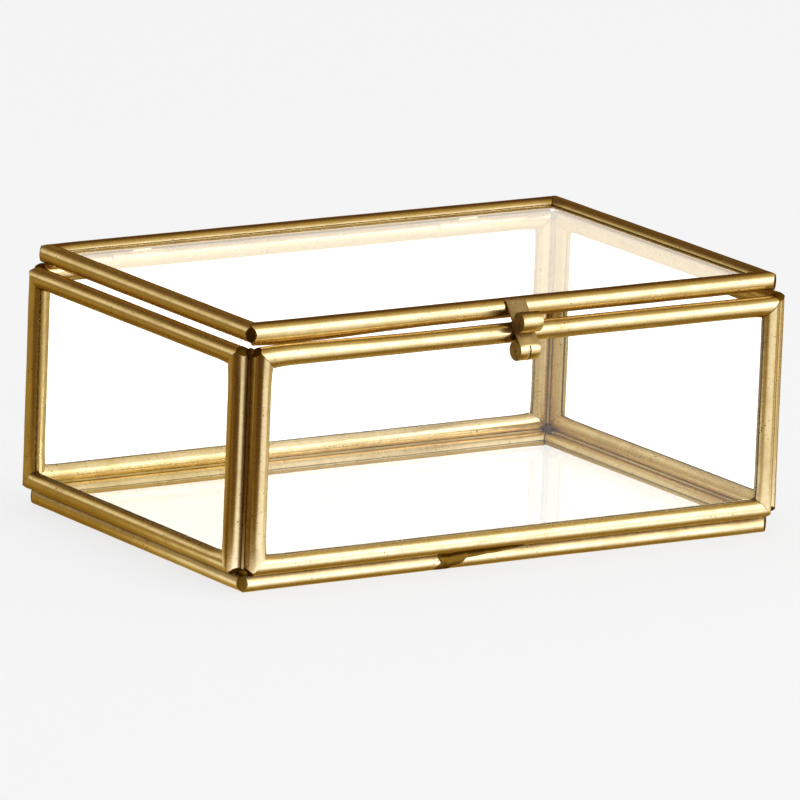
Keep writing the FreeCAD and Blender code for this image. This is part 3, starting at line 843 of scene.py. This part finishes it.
# How bright the table is in the brass when seen straight down, and what its zones add or lose
TABLE_LEVEL = 0.22
SLANT_GAIN = 0.15
PATCH_GAIN = 0.68
FOOT_GAIN = 0.75
AHEAD_GAIN = 0.2
SHADE_LOSS = 0.75
AGAIN_LOSS = 0.3
INSIDE_LEVEL = 0.56
INSIDE_GLEAM = 0.30
# Where these begin and end, as the places between which each fades in or out
PATCH_AZIMUTH = math.radians(12)
PATCH_BACK = (30 * MM, -30 * MM)
FOOT_BACK = (-42 * MM, -45 * MM)
FOOT_FRONT = (-72 * MM, -62 * MM)
AHEAD_BACK = (-50 * MM, -65 * MM)
AHEAD_FRONT = (-160 * MM, -110 * MM)
AHEAD_RIGHT = (90 * MM, 50 * MM)
SHADE_RIGHT = (-85 * MM, -110 * MM)
SHADE_BACK = (40 * MM, -20 * MM)
STEEP_SHADE_BACK = (250 * MM, 150 * MM)


def ray_kinds(chain):
    """Masks of rays: from the camera, through glass only, mirrored, mirrored twice, and from inside."""
    camera, through, bounces, panes = (
        chain.node("ShaderNodeLightPath", output=kind)
        for kind in ("Is Camera Ray", "Is Transmission Ray", "Glossy Depth", "Transmission Depth")
    )
    mirrored = bounces.fade(0.0, 1.0)
    return camera, through * (1 - mirrored), mirrored, bounces.fade(1.0, 2.0), panes.fade(2.0, 3.0)


def parts_of(chain, vector):
    """The X, Y and Z of a vector as three values."""
    parts = {"Vector": vector}
    return (chain.node("ShaderNodeSeparateXYZ", None, parts, output=axis) for axis in ("X", "Y", "Z"))


def warm_light(level):
    """White light at a level of 1, which is warmer the dimmer it is, and cooler where it glares."""
    dim, glare = level.maths("MINIMUM", level, 1.0), level.maths("MAXIMUM", level, 1.0)
    colour = {"Red": level, "Green": dim**1.36 * glare**1.15, "Blue": dim**2.7 * glare**1.7}
    return level.node("ShaderNodeCombineColor", None, colour)


bpy.ops.object.select_all(action="DESELECT")
bpy.ops.mesh.primitive_grid_add(x_subdivisions=4, y_subdivisions=4, size=2 * FLOOR_HALF)
floor = bpy.context.object
floor.name = "floor"
table, chain = new_finish("pale_table")
camera_ray, through_glass, mirrored, again, inside = ray_kinds(chain)
across, deep, _ = parts_of(chain, chain.node("ShaderNodeTexCoord", output="Object"))
slope = chain.node("ShaderNodeLayerWeight", None, {"Blend": 0.5}, output="Facing")
patch_way = {"X": math.sin(PATCH_AZIMUTH), "Y": -math.cos(PATCH_AZIMUTH)}
patch_way = chain.node("ShaderNodeCombineXYZ", None, patch_way)
facing_patch = {"Blend": 0.5, "Normal": patch_way}
aside = chain.node("ShaderNodeLayerWeight", None, facing_patch, output="Facing")
flatness = (1 - (1 - slope) ** 2) ** 0.5
lit = chain.maths("DIVIDE", 1 - aside, flatness).fade(0.55, 0.85) * deep.fade(*PATCH_BACK)
foot = deep.fade(*FOOT_BACK) * deep.fade(*FOOT_FRONT) * slope.fade(0.12, 0.5)
ahead = deep.fade(*AHEAD_BACK) * deep.fade(*AHEAD_FRONT) * across.fade(*AHEAD_RIGHT) * slope.fade(0.5, 0.7)
grazing = slope.fade(0.3, 0.75)
steep = deep.fade(*STEEP_SHADE_BACK) * (1 - grazing)
shaded = across.fade(*SHADE_RIGHT) * chain.maths("MAXIMUM", deep.fade(*SHADE_BACK), steep)
patch = lit * (1 - shaded) * PATCH_GAIN
bright = TABLE_LEVEL + grazing * (SLANT_GAIN + patch) + foot * FOOT_GAIN + ahead * AHEAD_GAIN
outside_level = bright * (1 - shaded * SHADE_LOSS) * (1 - again * AGAIN_LOSS)
table_level = outside_level * (1 - inside) + inside * (INSIDE_LEVEL + lit * INSIDE_GLEAM)
level = camera_ray * BACKGROUND + through_glass * SEEN_THROUGH_GLASS + mirrored
colour = mirrored.tint(WHITE, warm_light(table_level))
glow = chain.node("ShaderNodeEmission", None, {"Color": colour, "Strength": level})
matt = chain.node("ShaderNodeBsdfDiffuse", None, {"Color": TABLE_GREY})
seen = chain.node("ShaderNodeMixShader", None, {0: 1 - (1 - mirrored) * MATT_SHARE, 1: matt, 2: glow})
chain.node("ShaderNodeOutputMaterial", None, {"Surface": seen})
floor.data.materials.append(table)
floor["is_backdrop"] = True

# Light: a large soft lamp ahead of the box to the right, a cream wall behind the box and a dim warm room.
# The lid mirrors the wall, and the brass the lamp and a low band behind to the left, all without hard edges.
# The world gives these reflections, and the lamp itself the shadow.

LAMP_AZIMUTH = math.radians(34)
LAMP_ELEVATION = math.radians(12)
LAMP_DISTANCE = 0.9
LAMP_WIDTH = 0.85
LAMP_HEIGHT = 0.62
LAMP_BRIGHTNESS = 2.6
WALL_AZIMUTH = math.radians(160)
WALL_IN_GLASS = 1.5
WALL_CREAM = (1.0, 0.93, 0.80, 1)
SIDE_AZIMUTH = math.radians(-148)
SIDE_IN_BRASS = 0.85
ROOM_LEVEL = 0.07
PLAIN_LEVEL = 0.8
LAMP_IN_BRASS = 2.0
HALO_IN_BRASS = 0.6
# How each fades: by how squarely a ray points at it, and by how high the ray points
LAMP_SPREAD = (0.82, 0.99)
HALO_SPREAD = (0.0, 0.95)
WALL_SPREAD = (0.3, 1.0)
WALL_TOP = (0.64, 0.2)
SIDE_SPREAD = (0.3, 0.9)
SIDE_FOOT = (0.0, 0.2)
SIDE_TOP = (0.56, 0.3)
INSIDE_RISE = (0.1, 0.5)


def looking(azimuth, elevation):
    """The direction at an azimuth from straight ahead of the box, towards +X, and at an elevation."""
    level = math.cos(elevation)
    return Vector((math.sin(azimuth) * level, -math.cos(azimuth) * level, math.sin(elevation)))


world = bpy.data.worlds.new("studio")
bpy.context.scene.world = world
world.use_nodes = True
world.node_tree.nodes.clear()
chain = Finish(world.node_tree)
camera_ray, through_glass, mirrored, again, inside = ray_kinds(chain)
direction = chain.node("ShaderNodeTexCoord", output="Generated")
_, _, height = parts_of(chain, direction)
towards_lamp = looking(LAMP_AZIMUTH, LAMP_ELEVATION)
squareness = {"operation": "DOT_PRODUCT"}
ahead, behind, beside = (
    chain.node("ShaderNodeVectorMath", squareness, {0: direction, 1: towards}, output="Value")
    for towards in (towards_lamp, looking(WALL_AZIMUTH, 0), looking(SIDE_AZIMUTH, 0))
)
halo = ahead.fade(*HALO_SPREAD)
lamp_glow = ahead.fade(*LAMP_SPREAD) * LAMP_IN_BRASS + halo * HALO_IN_BRASS
in_glass = chain.node("ShaderNodeLightPath", output="Is Singular Ray") * (1 - inside) * (1 - again)
wall_glow = height.fade(*WALL_TOP) * behind.fade(*WALL_SPREAD) * in_glass * WALL_IN_GLASS
side_band = height.fade(*SIDE_FOOT) * height.fade(*SIDE_TOP) * beside.fade(*SIDE_SPREAD)
side_glow = side_band * (1 - in_glass) * SIDE_IN_BRASS
outside_level = (ROOM_LEVEL + lamp_glow + wall_glow + side_glow) * (1 - again * AGAIN_LOSS)
inside_level = INSIDE_LEVEL + (halo + height.fade(*INSIDE_RISE)) * INSIDE_GLEAM
lit = outside_level * (1 - inside) + inside * inside_level
brightness = chain.maths("MAXIMUM", lit, 1.0)
colour = mirrored.tint(WHITE, warm_light(chain.maths("MINIMUM", lit, 1.0)))
multiplied = {"data_type": "RGBA", "blend_type": "MULTIPLY"}
creamy = {0: in_glass * mirrored, 6: colour, 7: WALL_CREAM}
colour = chain.node("ShaderNodeMix", multiplied, creamy, output=2)
plain = (1 - camera_ray) * (1 - through_glass) * (1 - mirrored) * PLAIN_LEVEL
level = camera_ray * BACKGROUND + through_glass * SEEN_THROUGH_GLASS + mirrored * brightness + plain
backdrop = chain.node("ShaderNodeBackground", None, {"Color": colour, "Strength": level})
chain.node("ShaderNodeOutputWorld", None, {"Surface": backdrop})

lamp_data = bpy.data.lights.new("soft_lamp", "AREA")
lamp_data.shape = "RECTANGLE"
lamp_data.size = LAMP_WIDTH
lamp_data.size_y = LAMP_HEIGHT
lamp_data.energy = LAMP_BRIGHTNESS * math.pi * LAMP_WIDTH * LAMP_HEIGHT
lamp = bpy.data.objects.new("soft_lamp", lamp_data)
lamp.location = towards_lamp * LAMP_DISTANCE
lamp.rotation_euler = towards_lamp.to_track_quat("Z", "Y").to_euler()
lamp.visible_camera = False
lamp.visible_glossy = False
bpy.context.scene.collection.objects.link(lamp)

# Camera: a long lens to the left of the front, a little above the lid, held not quite level.
# Its place and its focal length, in pixels of the picture, were fitted to the edges of the tubes.

CAMERA_AZIMUTH = math.radians(-33.01)
CAMERA_ELEVATION = math.radians(12.97)
CAMERA_ROLL = math.radians(2.22)
CAMERA_DISTANCE = 2.54226
CAMERA_TARGET = Vector((-0.79 * MM, middle_y, 28.26 * MM))
SENSOR = 36.0
FOCAL_PIXELS = 11000.0
PICTURE_PIXELS = 800.0

back = looking(CAMERA_AZIMUTH, CAMERA_ELEVATION)
right = Z.cross(back).normalized()
upwards = back.cross(right)
tilt = Matrix.Rotation(CAMERA_ROLL, 3, back)
camera_data = bpy.data.cameras.new("camera")
camera_data.sensor_width = SENSOR
camera_data.lens = SENSOR * FOCAL_PIXELS / PICTURE_PIXELS
camera = bpy.data.objects.new("camera", camera_data)
camera.matrix_world = Matrix((tilt @ right, tilt @ upwards, back)).transposed().to_4x4()
camera.location = CAMERA_TARGET + back * CAMERA_DISTANCE
bpy.context.scene.collection.objects.link(camera)
bpy.context.scene.camera = camera
bpy.context.scene.view_settings.view_transform = "Standard"

boxes = {"cad": cad_box, "visual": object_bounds()}
